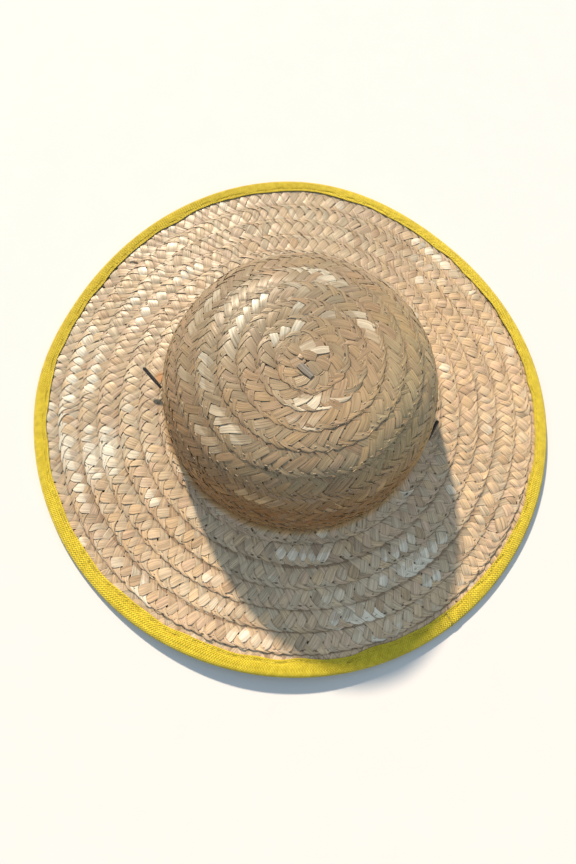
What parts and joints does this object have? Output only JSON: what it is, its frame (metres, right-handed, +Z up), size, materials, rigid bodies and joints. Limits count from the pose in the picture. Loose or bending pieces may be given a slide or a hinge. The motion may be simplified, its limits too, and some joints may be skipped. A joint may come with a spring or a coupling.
{
  "type": "straw sun hat",
  "caption": "Round straw sun hat with a domed crown, a wide gently waved brim bound in yellow tape, and a thin chin elastic.",
  "frame": {"origin": "on the surface that the hat rests on, under the middle of the brim", "axes": "+Z up through the crown, -Y towards the wearer's front, +X towards the wearer's left"},
  "size_m": [0.3503, 0.3497, 0.0999],
  "materials": {
    "straw": "sewn straw plait",
    "binding_tape": "woven yellow tape",
    "toggle": "black, slightly shiny",
    "elastic": "black covered elastic"
  },
  "bodies": {
    "root": {"crown": "straw", "brim": "straw", "brim_binding": "binding_tape", "toggle_left": "toggle", "toggle_right": "toggle", "chin_cord": "elastic"}
  },
  "joints": []
}
